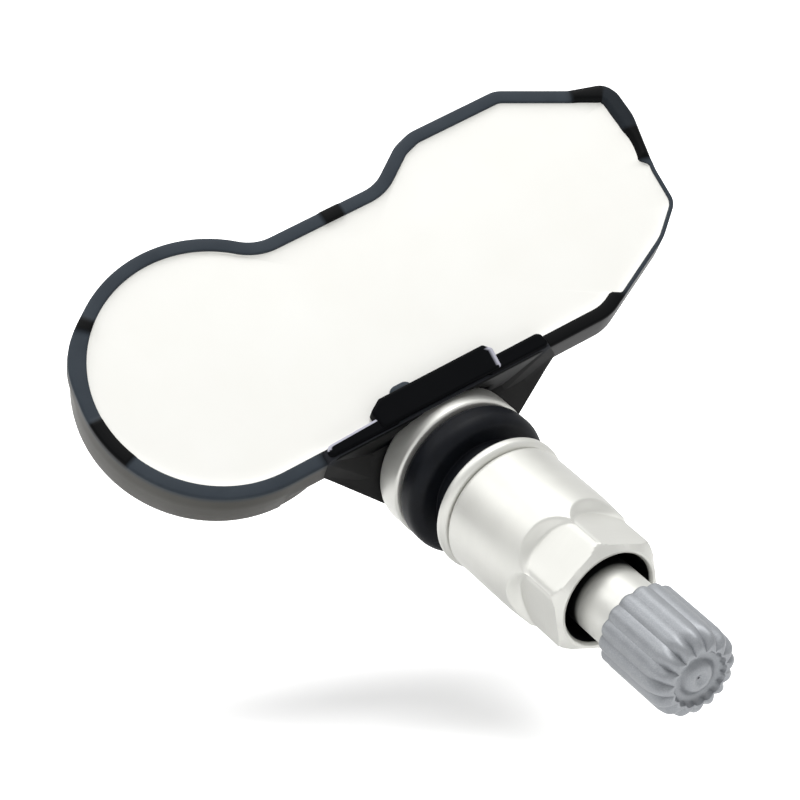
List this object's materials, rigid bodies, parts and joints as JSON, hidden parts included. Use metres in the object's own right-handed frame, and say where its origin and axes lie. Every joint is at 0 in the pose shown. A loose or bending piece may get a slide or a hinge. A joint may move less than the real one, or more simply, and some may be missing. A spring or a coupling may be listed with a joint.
{
  "type": "tyre pressure sensor",
  "caption": "Clamp-in tyre pressure sensor: a resin-filled plastic tray on an angled aluminium valve with grommet, washer, hexagon nut and ribbed cap.",
  "frame": {"origin": "on the valve's axis, in the plane where the grommet's flange meets the inside of the rim", "axes": "+Z square to the tray's open resin face; -Y the side that the valve leaves from, so the valve points along (0, -0.8660, 0.5); +X towards the tray's wide end"},
  "size_m": [0.0704, 0.0722, 0.0335],
  "materials": {
    "housing_plastic": "satin",
    "resin": "satin",
    "board": "satin",
    "cell_steel": "satin",
    "tab_metal": "satin",
    "chip": "matte",
    "crystal_can": "satin",
    "ceramic": "matte",
    "ferrite": "matte",
    "copper": "satin",
    "aluminium": "satin",
    "grommet_rubber": "matte",
    "cap_plastic": "satin",
    "seal_rubber": "matte",
    "brass": "satin",
    "gasket_red": "matte",
    "spring_steel": "satin"
  },
  "bodies": {
    "sensor": {"housing": "housing_plastic", "resin_fill": "resin", "circuit_board": "board", "battery_cell": "cell_steel", "battery_tab_top": "tab_metal", "battery_tab_base": "tab_metal", "pressure_chip": "chip", "radio_chip": "chip", "crystal": "crystal_can", "capacitors": "ceramic", "coil_core": "ferrite", "coil_winding": "copper", "antenna_strip": "copper", "valve_stem": "aluminium", "grommet": "grommet_rubber", "core_body": "brass", "core_gasket": "gasket_red", "core_spring": "spring_steel"},
    "washer": {"washer": "aluminium"},
    "nut": {"nut": "aluminium"},
    "cap_seal": {"cap_seal": "seal_rubber"},
    "cap": {"cap_shell": "cap_plastic"},
    "core_pin": {"core_pin": "brass", "core_cup_seal": "seal_rubber"}
  },
  "joints": [
    {"name": "nut_travel", "type": "slide", "parent": "sensor", "child": "washer", "axis": [0, -0.866, 0.5], "range_m": [0, 0.009]},
    {"name": "nut_turn", "type": "hinge", "parent": "washer", "child": "nut", "pos_m": [0, 0, 0], "axis": [0, -0.866, 0.5], "range_deg": [0, 4080]},
    {"name": "cap_travel", "type": "slide", "parent": "sensor", "child": "cap_seal", "axis": [0, -0.866, 0.5], "range_m": [0, 0.008]},
    {"name": "cap_turn", "type": "hinge", "parent": "cap_seal", "child": "cap", "pos_m": [0, 0, 0], "axis": [0, -0.866, 0.5], "range_deg": [0, 3620]},
    {"name": "core_press", "type": "slide", "parent": "sensor", "child": "core_pin", "axis": [0, 0.866, -0.5], "range_m": [0, 0.0012], "stiffness_N_per_m": 300, "deforming": ["core_spring"]}
  ],
  "couplings": [
    {"joint": "nut_travel", "follows": "nut_turn", "m_per_rad": 0.00012637},
    {"joint": "cap_travel", "follows": "cap_turn", "m_per_rad": 0.00012637}
  ]
}
